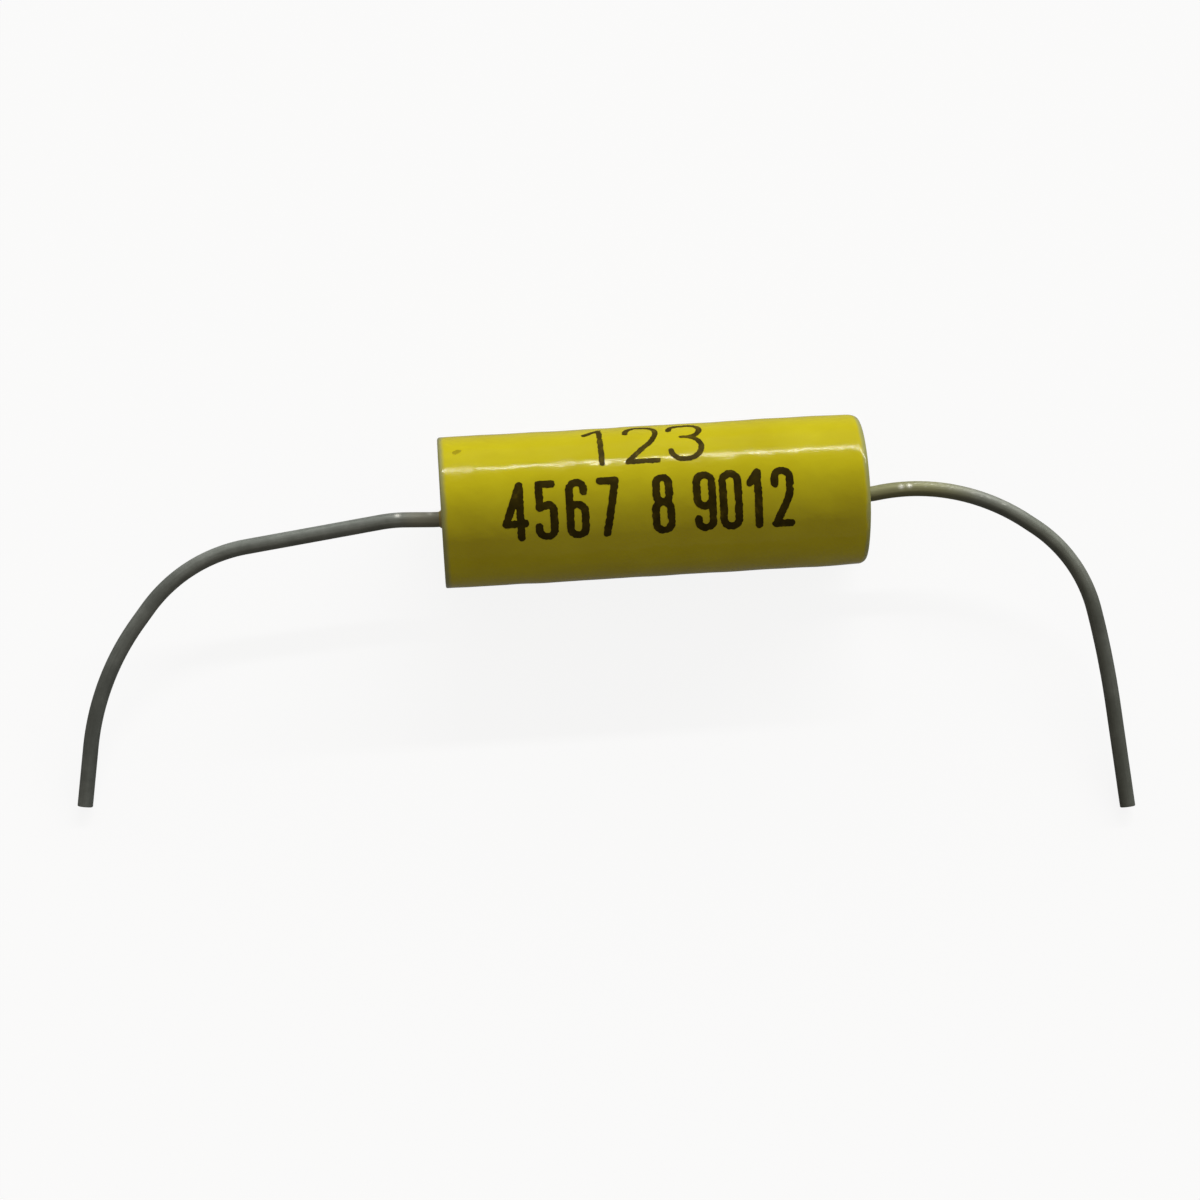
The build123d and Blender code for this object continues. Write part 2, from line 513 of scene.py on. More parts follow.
# (distance from the tube's end in mm, degrees from the wire's top to the outside of the bend)
nip_places = {
    "left": [(1.7, 42), (0.45, 60)],
    "right": [(1.6, 18), (1.92, 22)],
}
rub_from, rub_to = 2.0 * MM, 7.0 * MM
rub_angle = radians(40)  # the rubbed side, measured round the wire like a nip's
rub_share = 0.16  # bare tin between the flecks, where the rubbing was hardest
fleck_reach = 0.5  # flecks lie within this angle of the rubbed side, in radians
fleck_stretch = 0.75  # and on this share of the rubbed length
fleck_length, fleck_width = 0.16 * MM, 0.05 * MM
fleck_from, fleck_gain, fleck_most = 0.3, 3, 0.45


def nip_strength(name, past_tube, angle):
    """Strength of the plier nips at this place on the wire's skin, up to 1."""
    away = [
        (past_tube - place * MM) ** 2 + ((angle - radians(turned)) * wire_radius) ** 2
        for place, turned in nip_places[name]
    ]
    return max(np.exp(-squared / nip_size**2) for squared in away)


def rub_strength(name, past_tube, angle, skin):
    """Strength of the rubbed stretch and its flecks on the bend of the right lead, up to 1."""
    if name != "right" or not rub_from < past_tube < rub_to:
        return 0.0
    along_rub = (past_tube - rub_from) / (rub_to - rub_from)
    thinned = rub_share * sin(pi * along_rub) * max(cos(2 * (angle - rub_angle)), 0)
    if abs(angle - rub_angle) > fleck_reach or along_rub > fleck_stretch:
        return thinned
    spot = Vector((skin.x / fleck_length, skin.y / fleck_width, skin.z / fleck_width))
    return min(max(fleck_gain * (noise.noise(spot) - fleck_from), thinned), fleck_most)


print("nips:", nip_places)

# %% Rings of a lead
wire_columns = 48
tip_bevel = 0.03 * MM
cut_face_share = 0.4  # one more ring inside the cut face, so that its middle is even


def lead_rings(line):
    """Rings as (middle, heading, share of the wire's radius, shift along the heading)."""
    rings = [(point, heading, 1.0, 0.0) for point, heading in line]
    (start, start_heading), (tip, tip_heading) = line[0], line[-1]
    bevelled = 1 - tip_bevel / wire_radius
    rings[0] = (start, start_heading, bevelled, 0.0)
    rings.insert(0, (start, start_heading, 0.0, 0.0))
    rings[-1] = (tip, tip_heading, 1.0, -tip_bevel)
    return rings + [(tip, tip_heading, share, 0.0) for share in (bevelled, cut_face_share, 0.0)]


print("rings:", {name: len(lead_rings(line)) for name, line in lead_lines.items()})

# %% Lead surfaces
die_waver, die_spacing = 0.003 * MM, 0.8 * MM
nip_depth = 0.02 * MM

for name, line in lead_lines.items():
    outward = Vector((bend_tables[name][0], 0, 0))
    upward = Vector((0, cos(lead_tilts[name]), sin(lead_tilts[name])))
    facing = Vector((0, -sin(lead_tilts[name]), cos(lead_tilts[name])))
    rings = lead_rings(line)
    wire_points, laid_straight, bared = [], [], []
    travelled = -inside_tube[name]
    for (point, heading, share, ahead), (previous, *_) in zip(rings, rings[:1] + rings):
        travelled += (point - previous).length
        along_wire = outward * cos(heading) + upward * sin(heading)
        across_wire = upward * cos(heading) - outward * sin(heading)
        centre = middle + outward * point.x + upward * point.y + along_wire * ahead
        for column in range(wire_columns):
            a = tau * column / wire_columns
            round_wire = a if a < pi else a - tau
            skin = Vector((travelled, sin(a) * wire_radius, cos(a) * wire_radius))
            nip = nip_strength(name, travelled, round_wire)
            waver = die_waver * (0.5 + 0.5 * noise.noise(skin / die_spacing))
            radius = share * (wire_radius - waver - nip_depth * nip)
            wire_points.append(centre + (across_wire * sin(a) + facing * cos(a)) * radius)
            laid_straight.append(skin * share)
            bared.append(max(nip, rub_strength(name, travelled, round_wire, skin)))
    faces = grid_faces(len(rings), wire_columns, close_rows=False)
    marks = {"laid_straight": laid_straight, "bared": bared}
    lead = new_piece(f"bent_lead_{name}", wire_points, faces, "tinned_wire", **marks)
    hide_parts(f"lead_{name}")
    print(f"{name}: {travelled / MM:.2f} mm of wire past the tube")

# %% [markdown]
# ## The resin
#
# Epoxy is poured into the open ends and hardens as it stood when liquid: it climbs a little up
# the tape all round, climbs the wire in a steep collar, and sinks slightly in between. Each of
# those is a height over the flat resin face, so the face is a grid between two circles, the
# wire's and the tape's, lifted by the sum of them. The rows then go round the back, over the
# zinc, to close the body.

# %% Height of the hardened resin
rim_height = 0.1 * MM  # the tape's edge stands this far past the resin
rim_bare = 0.015 * MM  # and stays bare over this much of it
rim_creep = 0.5 * MM  # how far in from the tape the resin's face curves up
collar_height = 0.2 * MM
collar_reach = 0.35 * MM
sink_depth = 0.03 * MM
uneven_depth, uneven_spacing = 0.012 * MM, 1.6 * MM


def resin_height(from_wire, from_wall, place):
    """Height of the hardened resin over its flat level."""
    wall = max(1 - from_wall / rim_creep, 0) ** 2 * (rim_height - rim_bare)
    collar = max(1 - from_wire / collar_reach, 0) ** 3 * collar_height
    uneven = uneven_depth * noise.noise(place / uneven_spacing)
    sunk = sink_depth * min(from_wall / rim_creep, 1) * min(from_wire / collar_reach, 1)
    return wall + collar + uneven * min(from_wall / rim_creep, 1) - sunk


print(f"the resin climbs {(rim_height - rim_bare) / MM:.3f} mm up the tape")

# %% Resin fills
resin_columns = 120
resin_rows = 30
contact_thickness = 0.35 * MM
contact_radius = 2.57 * MM
contact_flat = 2.45 * MM
zinc_face = roll_end + contact_thickness
back = [(roll_end, roll_radius), (roll_end, contact_radius), (zinc_face, contact_flat)]
angles = [tau * column / resin_columns for column in range(resin_columns)]
ring = [Vector((0, cos(angle), sin(angle))) for angle in angles]

for name, (side, bends, tip_length) in bend_tables.items():
    wire_offset = Vector((0, -cos(lead_tilts[name]), -sin(lead_tilts[name]))) * lead_offset
    resin_points = []
    for row in range(resin_rows + 1):
        share = (1 - cos(pi * row / resin_rows)) / 2
        for direction in ring:
            near, far = wire_offset + direction * wire_radius, direction * roll_radius
            place = near.lerp(far, share)
            from_wire = (place - wire_offset).length - wire_radius
            level = tube_end - rim_height + resin_height(from_wire, roll_radius - place.length, place)
            resin_points.append(middle + place + Vector((side * level, 0, 0)))
    for level, radius in back:
        outward = Vector((side * level, 0, 0))
        resin_points += [middle + direction * radius + outward for direction in ring]
    outward = Vector((side * zinc_face, 0, 0))
    resin_points += [middle + wire_offset + direction * wire_radius + outward for direction in ring]
    resin_faces = grid_faces(resin_rows + 1 + len(back) + 1, resin_columns)
    resin = new_piece(f"poured_resin_{name}", resin_points, resin_faces, "epoxy")
    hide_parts(f"resin_fill_{name}")

# %% [markdown]
# ## Helpers for finishes
#
# A finish is a small tree of nodes that ends in one Principled shader. One function adds a node
# of any kind with its settings and links, and another fills the sockets of a node. Colours are
# sRGB hex values, as they look on a screen, turned to the linear ones that a renderer adds up.
#
# Sockets that share a name are told apart by number. A Math node's are 0, 1 and 2. A Mix node's
# are 0 for the share, 2 and 3 for two numbers, and 6 and 7 for two colours, and its results are
# 0 for a number and 2 for a colour.

# %% Node and colour helpers
def linear(hex_colour):
    """Linear RGBA of an sRGB hex colour such as '#c8b82a'."""
    channels = [int(hex_colour[i:i + 2], 16) / 255 for i in (1, 3, 5)]
    return (*[c / 12.92 if c <= 0.04045 else ((c + 0.055) / 1.055) ** 2.4 for c in channels], 1.0)


def fill(tree, node, sockets):
    """Links each socket that is given another node's output, and sets each one given a value."""
    for socket, value in sockets.items():
        if isinstance(value, bpy.types.NodeSocket):
            tree.links.new(value, node.inputs[socket])
        else:
            node.inputs[socket].default_value = value


def add_node(tree, kind, sockets=None, stops=(), **settings):
    """Adds a shader node. Stops are the (place, hex colour) pairs of a colour ramp."""
    made = tree.nodes.new("ShaderNode" + kind)
    for setting, value in settings.items():
        setattr(made, setting, value)
    fill(tree, made, sockets or {})
    for stop in stops[2:]:
        made.color_ramp.elements.new(0.5)
    for stop, (place, colour) in enumerate(stops):
        made.color_ramp.elements[stop].position = place
        made.color_ramp.elements[stop].color = linear(colour)
    return made


def start_finish(name):
    """A new material with only an output and a Principled shader, and its object coordinates."""
    finish = bpy.data.materials.new(name)
    finish.use_nodes = True
    tree = finish.node_tree
    tree.nodes.clear()
    shader = add_node(tree, "BsdfPrincipled")
    add_node(tree, "OutputMaterial", {"Surface": shader.outputs["BSDF"]})
    place = add_node(tree, "TexCoord").outputs["Object"]
    return finish, tree, shader, place


def per_metre(spacing):
    """Texture scale that repeats a pattern at this spacing."""
    return 1 / spacing


print("yellow in linear light:", [round(c, 3) for c in linear("#c4b92a")])

# %% [markdown]
# ## Yellow polyester tape
#
# Polyester film is calendered between polished rollers, so it is smooth and shows a sharp
# highlight. Its index of refraction is near 1.6, but the pigment and the wear of years keep the
# highlight weak, so the specular level is low, and the polish comes and goes, so the roughness
# does too. The pigment is an even lemon yellow, a touch deeper where the glue has wetted the
# turn beneath. The layers beneath press fine dents into the tape, which break the highlight
# into beads.

# %% Tape finish: colour of the film
pet_tape, tree, shader, place = start_finish("calendered_polyester_tape")
glue_wetting = {"Vector": place, "Scale": per_metre(2.5 * MM), "Detail": 3.0, "Roughness": 0.55}
glue = add_node(tree, "TexNoise", glue_wetting)
yellows = [(0.3, "#bdb009"), (0.7, "#c7bc11")]
yellow = add_node(tree, "ValToRGB", {"Fac": glue.outputs["Fac"]}, stops=yellows)
print("yellow of the film:", yellows)

# %% [markdown]
# The bare edges of the turns are paler than the film's face. At the left end the resin reaches
# them and stains them olive. At the right end nothing backs the film, so it is pale and lets a
# little light through. Noise added to the place along the tube makes both borders wander.

# %% Tape finish: edges of the turns
border_wander = 0.08 * MM
full_edge = 0.08 * MM  # the last stretch, which is all edge colour
clear_rim = 0.35  # share of the light that the right rim lets through

wobble = add_node(tree, "TexNoise", {"Vector": place, "Scale": per_metre(0.9 * MM), "Detail": 2.0})
both_ways = {"To Min": -border_wander, "To Max": border_wander}
waver = add_node(tree, "MapRange", {"Value": wobble.outputs["Fac"], **both_ways}).outputs["Result"]
along = add_node(tree, "SeparateXYZ", {"Vector": place}).outputs["X"]
wavering = add_node(tree, "Math", {0: along, 1: waver}, operation="ADD").outputs[0]

tape_colour = yellow.outputs["Color"]
for end, inwards, reach, edge_colour in (
    (tape_low.x, 1, 0.3 * MM, "#96955c"),
    (tape_high.x, -1, 0.26 * MM, "#bcbd70"),
):
    limits = {"From Min": end + inwards * reach, "From Max": end + inwards * full_edge}
    border = add_node(tree, "MapRange", {"Value": wavering, **limits}, interpolation_type="SMOOTHSTEP")
    at_edge = border.outputs["Result"]
    blend = {0: at_edge, 6: tape_colour, 7: linear(edge_colour)}
    tape_colour = add_node(tree, "Mix", blend, data_type="RGBA").outputs[2]
clear_share = add_node(tree, "Math", {0: at_edge, 1: clear_rim}, operation="MULTIPLY")
print("edge colour on the last", full_edge / MM, "mm")

# %% Tape finish: polish and dents
layers = add_node(tree, "TexNoise", {"Vector": place, "Scale": per_metre(0.4 * MM), "Detail": 2.0})
dent_look = {"Height": layers.outputs["Fac"], "Distance": 0.012 * MM, "Strength": 1.0}
dents = add_node(tree, "Bump", dent_look)
polish = add_node(tree, "TexNoise", {"Vector": place, "Scale": per_metre(1.6 * MM), "Detail": 1.0})
wear = {"From Min": 0.35, "From Max": 0.65, "To Min": 0.13, "To Max": 0.2}
roughness = add_node(tree, "MapRange", {"Value": polish.outputs["Fac"], **wear})
fill(tree, shader, {
    "Base Color": tape_colour,
    "Roughness": roughness.outputs["Result"],
    "Transmission Weight": clear_share.outputs[0],
    "Normal": dents.outputs["Normal"],
    "IOR": 1.58,
    "Specular IOR Level": 0.17,
})
print(pet_tape.name, len(tree.nodes), "nodes")

# %% [markdown]
# ## Stamping ink
#
# Solvent ink on glossy film dries to a thin, nearly black brown. It is duller than the tape, so
# the tape's highlight stops at each digit. Where the stamp pressed lightly more yellow shows
# through, and the narrow upper digits and the stray fleck took less ink still. Noise at the size
# of those light spots mixes the colours.

# %% Ink finishes
ink_stops = {
    "stamped_solvent_ink": [(0.35, "#2c2402"), (0.6, "#3b3105"), (0.8, "#5e500b")],
    "thinly_stamped_ink": [(0.3, "#362c02"), (0.55, "#463b04"), (0.75, "#65570a")],
    "stray_ink_fleck": [(0.35, "#9c8f09"), (0.65, "#b2a40d")],
}
dried = {"Roughness": 0.45, "IOR": 1.5, "Specular IOR Level": 0.06}
inks = {}
for name, stops in ink_stops.items():
    inks[name], tree, shader, place = start_finish(name)
    light_spots = {"Vector": place, "Scale": per_metre(0.45 * MM), "Detail": 4.0, "Roughness": 0.6}
    press = add_node(tree, "TexNoise", light_spots)
    ink_colour = add_node(tree, "ValToRGB", {"Fac": press.outputs["Fac"]}, stops=stops)
    fill(tree, shader, {"Base Color": ink_colour.outputs["Color"], **dried})
    print(name, len(tree.nodes), "nodes")

# %% [markdown]
# ## Dull tinned wire
#
# Component wire is copper or steel, plated with tin and drawn through a die. Fresh tin is
# bright, but after years on a shelf a dull oxide skin covers it, which scatters light as a grey
# paint does. Only a fifth of the metal's own shine is left, except where pliers bared it. Fine
# lines from the die run along the wire, and the oxide is thicker in patches a millimetre wide.
# All of it is read from where the skin would lie on a straight wire.

# %% Wire finish: oxide, grain and die lines
tinned_wire, tree, shader, place = start_finish("oxidised_tin_plate")
straight = add_node(tree, "Attribute", attribute_name="laid_straight").outputs["Vector"]
bare = add_node(tree, "Attribute", attribute_name="bared").outputs["Fac"]
on_skin = add_node(tree, "SeparateXYZ", {"Vector": straight}).outputs
past_tube, outwards = on_skin["X"], on_skin["Y"]
die_stretch = {0: straight, 1: (0.03, 1, 1)}
drawn = add_node(tree, "VectorMath", die_stretch, operation="MULTIPLY").outputs["Vector"]

# Name, where it is read, spacing, detail and roughness. A real die's lines are finer than
# these, which are as coarse as they have to be to show.
on_wire = {}
for name, where, spacing, detail, unevenness in (
    ("oxide", straight, 1.1 * MM, 5.0, 0.65),
    ("grain", straight, 0.12 * MM, 3.0, 0.6),
    ("die lines", drawn, 0.07 * MM, 2.0, 0.5),
):
    look = {"Vector": where, "Scale": per_metre(spacing), "Detail": detail, "Roughness": unevenness}
    on_wire[name] = add_node(tree, "TexNoise", look).outputs["Fac"]

oxide_greys = [(0.3, "#6d726c"), (0.5, "#7c817b"), (0.7, "#8c918b")]
oxide_colour = add_node(tree, "ValToRGB", {"Fac": on_wire["oxide"]}, stops=oxide_greys)
print("on the wire:", ", ".join(on_wire))

# %% [markdown]
# The two wires aged apart. Flux stained a short stretch of the left one grey-olive and a longer
# stretch of the right one olive, with a faint haze beyond. Both wires also carry painted shade,
# darker towards their tips and inside the bends. A share that is 0 on the left and 1 on the
# right picks between numbers.

# %% Wire finish: left and right
left_or_right = {"From Min": tape_low.x, "From Max": tape_high.x}
end_place = add_node(tree, "SeparateXYZ", {"Vector": place}).outputs["X"]
right_share = add_node(tree, "MapRange", {"Value": end_place, **left_or_right}).outputs["Result"]

# (on the left wire, on the right wire)
side_by_side = {
    "flux reach": (1.7 * MM, 4.8 * MM),
    "haze": (0.0, 0.1),
    "painted shade from": (17 * MM, 12 * MM),
    "painted shade share": (0.52, 0.47),
    "inside painted shade": (0.62, 0.45),
}
picked = {}
for name, (on_left, on_right) in side_by_side.items():
    pair = {0: right_share, 2: on_left, 3: on_right}
    picked[name] = add_node(tree, "Mix", pair, data_type="FLOAT").outputs[0]
print("by side:", ", ".join(picked))

# %% Wire finish: flux stain
flux_colours = {0: right_share, 6: linear("#96978a"), 7: linear("#92936a")}
flux_colour = add_node(tree, "Mix", flux_colours, data_type="RGBA").outputs[2]
in_reaches = {0: past_tube, 1: picked["flux reach"]}
flux_place = add_node(tree, "Math", in_reaches, operation="DIVIDE").outputs[0]
flux_edge = {"From Min": 1.0, "From Max": 0.6, "To Min": picked["haze"], "To Max": 0.95}
flux = add_node(tree, "MapRange", {"Value": flux_place, **flux_edge}).outputs["Result"]
stain = {0: flux, 6: oxide_colour.outputs["Color"], 7: flux_colour}
stained = add_node(tree, "Mix", stain, data_type="RGBA").outputs[2]
print("flux reaches", [reach / MM for reach in side_by_side["flux reach"]], "mm")

# %% Wire finish: where it is darker
# Painted shade: past 8 mm from the tube the wire's colour darkens towards its tip.
painted_tip_shade = {
    "Value": past_tube,
    "From Min": 8 * MM,
    "From Max": picked["painted shade from"],
    "To Min": 1.0,
    "To Max": picked["painted shade share"],
}
far = add_node(tree, "MapRange", painted_tip_shade).outputs["Result"]
die_range = {"To Min": 0.75, "To Max": 1.25}
lined = add_node(tree, "MapRange", {"Value": on_wire["die lines"], **die_range}).outputs["Result"]

# Painted shade darkens the inside of the bend up to where the wire falls straight.
bend_end = {
    "Value": past_tube,
    "From Min": 8.5 * MM,
    "From Max": 12 * MM,
    "To Min": picked["inside painted shade"],
    "To Max": 0.95,
}
painted_bend_shade = {
    "Value": outwards,
    "From Min": -0.7 * wire_radius,
    "From Max": -0.15 * wire_radius,
    "To Min": add_node(tree, "MapRange", bend_end).outputs["Result"],
    "To Max": 1.0,
}
inner = add_node(tree, "MapRange", painted_bend_shade, interpolation_type="SMOOTHSTEP").outputs["Result"]

shade = far
for factor in (lined, inner):
    shade = add_node(tree, "Math", {0: shade, 1: factor}, operation="MULTIPLY").outputs[0]
shaded = add_node(tree, "VectorMath", {0: stained, "Scale": shade}, operation="SCALE")
print("dark inside the bends up to", bend_end["From Max"] / MM, "mm past the tube")

# %% Wire finish: bare tin, dullness and relief
bared_tin = {0: bare, 6: shaded.outputs["Vector"], 7: linear("#dcdcd4")}
wire_colour = add_node(tree, "Mix", bared_tin, data_type="RGBA").outputs[2]
metal_share = add_node(tree, "Mix", {0: bare, 2: 0.2, 3: 0.9}, data_type="FLOAT").outputs[0]
dullness = {"Value": on_wire["grain"], "To Min": 0.5, "To Max": 0.7}
dull = add_node(tree, "MapRange", dullness).outputs["Result"]
roughness = add_node(tree, "Mix", {0: bare, 2: dull, 3: 0.38}, data_type="FLOAT").outputs[0]
reliefs = {0: on_wire["grain"], 1: on_wire["die lines"]}
relief = add_node(tree, "Math", reliefs, operation="ADD").outputs[0]
pits = add_node(tree, "Bump", {"Height": relief, "Distance": 0.006 * MM, "Strength": 0.8})
fill(tree, shader, {
    "Base Color": wire_colour,
    "Metallic": metal_share,
    "Roughness": roughness,
    "Normal": pits.outputs["Normal"],
    "Specular IOR Level": 0.35,
})
print(tinned_wire.name, len(tree.nodes), "nodes")

# %% [markdown]
# ## Poured epoxy
#
# Filled casting epoxy sets to a dull amber with a soft gloss. Light goes a little way into it,
# which subsurface scattering gives. The filler settles in clouds of lighter and darker amber,
# and dust and tiny bubbles leave the skin finely pitted.

# %% Resin finish
poured_epoxy, tree, shader, place = start_finish("poured_casting_epoxy")
clouding = {"Vector": place, "Scale": per_metre(1.5 * MM), "Detail": 4.0, "Roughness": 0.6}
cloud = add_node(tree, "TexNoise", clouding)
dust = {"Vector": place, "Scale": per_metre(0.15 * MM), "Detail": 2.0, "Roughness": 0.7}
specks = add_node(tree, "TexNoise", dust)
ambers = [(0.3, "#7d6c2c"), (0.5, "#8c7c38"), (0.7, "#9a8b47")]
epoxy_colour = add_node(tree, "ValToRGB", {"Fac": cloud.outputs["Fac"]}, stops=ambers)
skin_look = {"Height": specks.outputs["Fac"], "Distance": 0.006 * MM, "Strength": 0.6}
epoxy_skin = add_node(tree, "Bump", skin_look)
fill(tree, shader, {
    "Base Color": epoxy_colour.outputs["Color"],
    "Normal": epoxy_skin.outputs["Normal"],
    "Roughness": 0.28,
    "IOR": 1.55,
    "Subsurface Weight": 0.15,
    "Subsurface Radius": (1.0, 0.7, 0.2),
    "Subsurface Scale": 0.3 * MM,
})
print(poured_epoxy.name, len(tree.nodes), "nodes")

# %% [markdown]
# ## What the tube hides
#
# Nothing of the film roll or the zinc shows while the tube is whole, but the part can be cut
# open in other scenes, so both are finished. The roll's ends show its turns as fine rings, and
# sprayed zinc is grey and grainy. The real film is a few thousandths of a millimetre thick, so
# the rings are drawn half a millimetre apart, wide enough to read as turns.

# %% Hidden finishes
turn_spacing = 0.5027 * MM
wave_radians = 20  # what a wave texture of scale 1 turns through in a metre

film_roll, tree, shader, place = start_finish("aluminised_film_roll")
from_middle = add_node(tree, "VectorMath", {0: place, 1: middle}, operation="SUBTRACT")
turns_look = {"Vector": from_middle.outputs["Vector"], "Distortion": 1.0}
turns_look["Scale"] = tau / turn_spacing / wave_radians
turns = add_node(tree, "TexWave", turns_look, wave_type="RINGS", rings_direction="X")
aluminium_greys = [(0.2, "#a9abaa"), (0.8, "#c9cbca")]
film_colour = add_node(tree, "ValToRGB", {"Fac": turns.outputs["Fac"]}, stops=aluminium_greys)
fill(tree, shader, {"Base Color": film_colour.outputs["Color"], "Metallic": 0.6, "Roughness": 0.25})

sprayed_zinc, tree, shader, place = start_finish("flame_sprayed_zinc")
droplet_look = {"Vector": place, "Scale": per_metre(0.1 * MM), "Detail": 4.0, "Roughness": 0.7}
droplets = add_node(tree, "TexNoise", droplet_look).outputs["Fac"]
zinc_greys = [(0.3, "#82858a"), (0.7, "#a4a7ab")]
zinc_colour = add_node(tree, "ValToRGB", {"Fac": droplets}, stops=zinc_greys)
spray = add_node(tree, "Bump", {"Height": droplets, "Distance": 0.03 * MM, "Strength": 1.0})
fill(tree, shader, {
    "Base Color": zinc_colour.outputs["Color"],
    "Normal": spray.outputs["Normal"],
    "Metallic": 0.9,
    "Roughness": 0.6,
})
print(film_roll.name, "and", sprayed_zinc.name)

# %% Put the finishes on
finishes = {
    pet_tape: ["wound_tape"],
    inks["stamped_solvent_ink"]: ["lower_print"],
    inks["thinly_stamped_ink"]: ["upper_print"],
    inks["stray_ink_fleck"]: ["ink_fleck"],
    tinned_wire: ["bent_lead_left", "bent_lead_right"],
    poured_epoxy: ["poured_resin_left", "poured_resin_right"],
    film_roll: ["film_winding"],
    sprayed_zinc: ["end_contact_left", "end_contact_right"],
}
hidden_finishes = {
    pet_tape: ["tape_wrap"],
    tinned_wire: ["lead_left", "lead_right"],
    poured_epoxy: ["resin_fill_left", "resin_fill_right"],
}
for names_by_finish in (finishes, hidden_finishes):
    for finish, names in names_by_finish.items():
        for name in names:
            materials = bpy.data.objects[name].data.materials
            materials.clear()
            materials.append(finish)
            print(name, "->", finish.name)

# %% [markdown]
# ## Floor, light and camera
#
# The part lies on white paper under one long lamp, like the tube lamp over a workbench. The lamp
# hangs beyond the part and reaches far to its right, so it draws one thin bright line down the
# tape. A wide soft panel stands low beyond the part, as a bright wall would. It lights the far
# side and the tops of the wires and leaves the near side in shade, which a dim warm room fills.
# The panel is kept out of every shine, or it would lay a pale veil over the tape.
#
# A white sheet of that size would throw a lot of light up under the part. Light Path tells the
# paper and the room who is looking. The camera and clear surfaces see plain white, mirror-like
# reflections see about a seventh of it, and all other light meets dark paper and the dim room.
# The paper's plain white is kept a little below one, so that the shadow still shows.

# %% Who sees plain white
mirrored_share = 0.15


def seen_as_white(tree):
    """Share of plain white for the ray that looks: all, the mirrored share or none."""
    rays = add_node(tree, "LightPath").outputs
    eyes = {0: rays["Is Camera Ray"], 1: rays["Is Transmission Ray"]}
    direct = add_node(tree, "Math", eyes, operation="ADD").outputs[0]
    shine = {0: rays["Is Glossy Ray"], 1: mirrored_share, 2: direct}
    return add_node(tree, "Math", shine, operation="MULTIPLY_ADD", use_clamp=True).outputs[0]


print("mirror-like reflections see", mirrored_share, "of plain white")

# %% Floor
floor_radius = 3.0
floor_gap = 0.01 * MM
plain_white_share = 0.88

floor_mesh = bpy.data.meshes.new("paper_sheet")
disc = bmesh.new()
bmesh.ops.create_circle(disc, cap_ends=True, segments=96, radius=floor_radius)
bmesh.ops.translate(disc, vec=(0, 0, cad_box[0].z - floor_gap), verts=disc.verts)
disc.to_mesh(floor_mesh)
disc.free()
floor = bpy.data.objects.new("paper_sheet", floor_mesh)
bpy.context.scene.collection.objects.link(floor)

white_paper = bpy.data.materials.new("matt_white_paper")
white_paper.use_nodes = True
tree = white_paper.node_tree
tree.nodes.clear()
seen = seen_as_white(tree)
paper_colours = {0: seen, 6: linear("#4f4a42"), 7: linear("#f6f6f5")}
paper_colour = add_node(tree, "Mix", paper_colours, data_type="RGBA")
paper = add_node(tree, "BsdfDiffuse", {"Color": paper_colour.outputs[2]})
white = add_node(tree, "Emission", {"Color": (1, 1, 1, 1), "Strength": 1.0})
share = add_node(tree, "Math", {0: seen, 1: plain_white_share}, operation="MULTIPLY")
mixed = add_node(tree, "MixShader", {0: share.outputs[0], 1: paper.outputs[0], 2: white.outputs[0]})
add_node(tree, "OutputMaterial", {"Surface": mixed.outputs[0]})
floor_mesh.materials.append(white_paper)
print("paper sheet", floor_radius, "m in radius")

# %% World
room_strength = 0.3
horizon_strength = 0.45
horizon_height = 0.1  # sine of the angle up to which the pale horizon reaches

world = bpy.data.worlds.new("dim_studio")
bpy.context.scene.world = world
world.use_nodes = True
tree = world.node_tree
tree.nodes.clear()
direction = add_node(tree, "TexCoord").outputs["Generated"]
up = add_node(tree, "SeparateXYZ", {"Vector": direction}).outputs["Z"]
rise = {
    "Value": up,
    "From Min": 0.0,
    "From Max": horizon_height,
    "To Min": horizon_strength,
    "To Max": room_strength,
}
fade = add_node(tree, "MapRange", rise)
room = add_node(tree, "Background", {"Color": linear("#fff5e9"), "Strength": fade.outputs["Result"]})
backdrop = add_node(tree, "Background", {"Color": linear("#fafafa"), "Strength": 1.0})
both = {0: seen_as_white(tree), 1: room.outputs[0], 2: backdrop.outputs[0]}
mixed = add_node(tree, "MixShader", both)
add_node(tree, "OutputWorld", {"Surface": mixed.outputs[0]})
print("room strength", room_strength)

# %% Lamp and panel
lamp_distance = 6.0

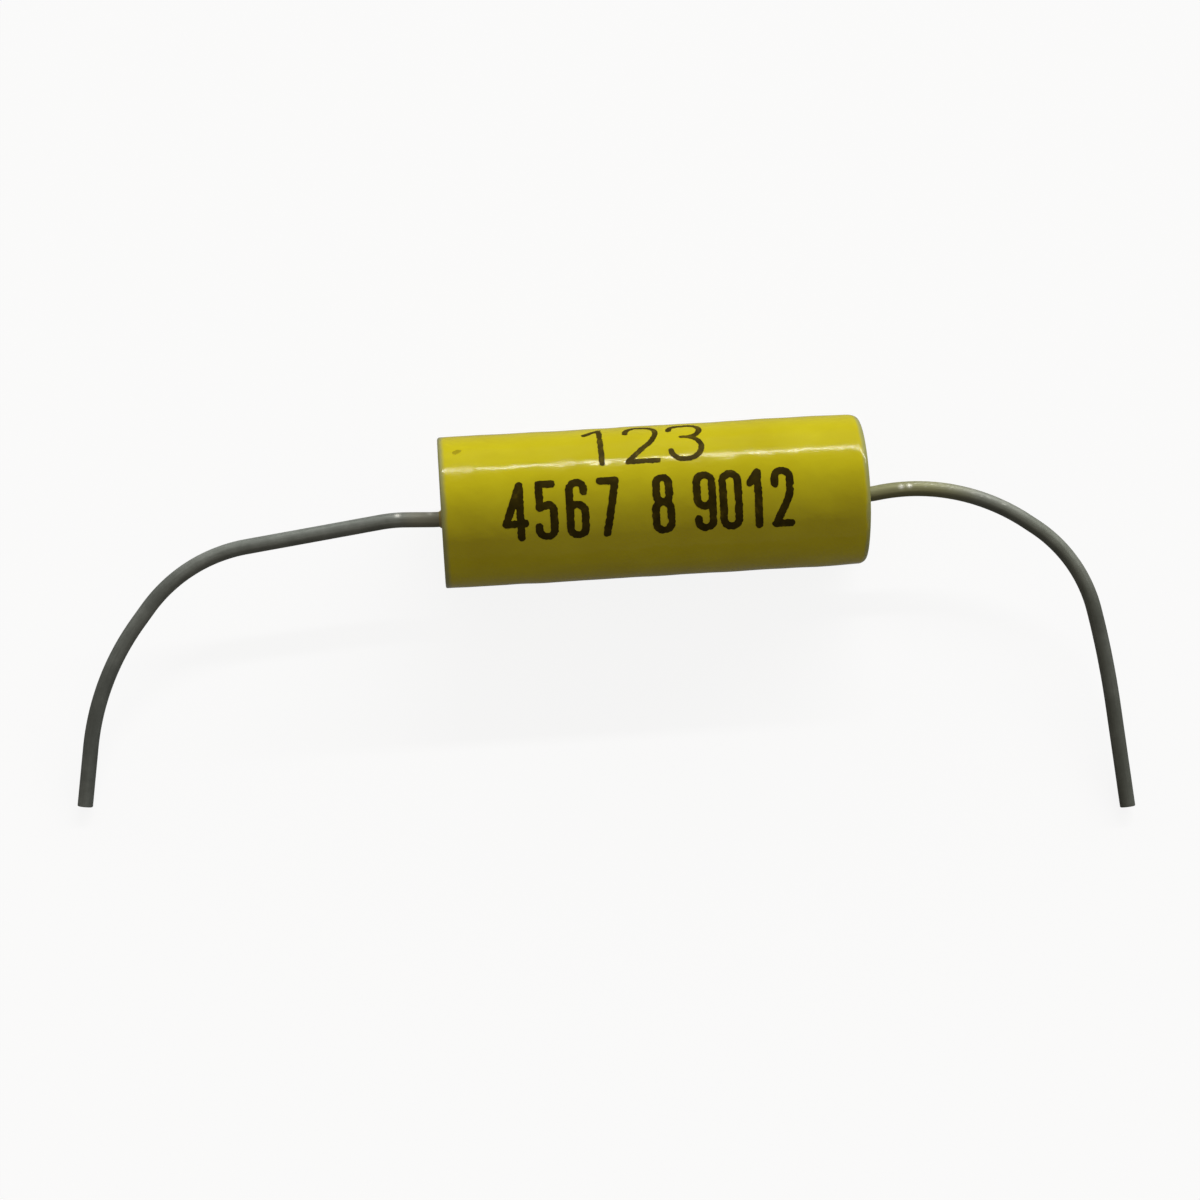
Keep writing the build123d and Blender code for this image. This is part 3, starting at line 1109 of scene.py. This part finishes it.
# Name, its ends along the tube from the tube's middle, height, power, how far it hangs from
# straight above towards +Y, and whether it shows in a shine
lamps = [
    ("bench_lamp", -0.3, 10.0, 0.2, 400.0, 52.5, True),
    ("soft_panel", -8.0, 12.0, 2.4, 395.0, 78, False),
]
for name, lamp_from, lamp_to, lamp_height, power, from_vertical, in_shines in lamps:
    lamp = bpy.data.lights.new(name, "AREA")
    lamp.shape = "RECTANGLE"
    lamp.size = lamp_to - lamp_from
    lamp.size_y = lamp_height
    lamp.energy = power
    lamp_object = bpy.data.objects.new(name, lamp)
    bpy.context.scene.collection.objects.link(lamp_object)
    lean = radians(from_vertical)
    towards = Vector((0, sin(lean), cos(lean)))
    lamp_object.location = middle + towards * lamp_distance + Vector(((lamp_from + lamp_to) / 2, 0, 0))
    lamp_object.rotation_euler = (-lean, 0, 0)
    lamp_object.visible_camera = False
    lamp_object.visible_glossy = in_shines
    print(name, "at", [round(v, 2) for v in lamp_object.location])

# %% Camera
camera_distance = 110 * MM
camera_yaw = radians(2.86)  # the tube's right end is the farther one
camera_roll = radians(3.44)  # the tube's right end is the higher one in the frame
tube_right_of_centre = 2.02 * MM
tube_above_centre = 3.87 * MM
sensor_width = 36  # in millimetres, as a camera's own settings are
focal_length = 84.13

along_tube = Vector((1, 0, 0))
up_leads = Vector((0, cos(camera_lean), sin(camera_lean)))
off_leads = along_tube.cross(up_leads)
level = along_tube * cos(camera_roll) - up_leads * sin(camera_roll)
frame_up = along_tube * sin(camera_roll) + up_leads * cos(camera_roll)
frame_right = level * cos(camera_yaw) + off_leads * sin(camera_yaw)
frame_back = off_leads * cos(camera_yaw) - level * sin(camera_yaw)

camera = bpy.data.cameras.new("bench_camera")
camera.sensor_width = sensor_width
camera.lens = focal_length
camera.clip_start = 1 * MM
camera_object = bpy.data.objects.new("bench_camera", camera)
bpy.context.scene.collection.objects.link(camera_object)
aim = middle - frame_right * tube_right_of_centre - frame_up * tube_above_centre
place = aim + frame_back * camera_distance
axes = Matrix((frame_right, frame_up, frame_back)).transposed()
camera_object.matrix_world = Matrix.Translation(place) @ axes.to_4x4()
bpy.context.scene.camera = camera_object
bpy.context.scene.view_settings.view_transform = "Standard"
print("camera at", [round(v / MM, 1) for v in place], "mm")
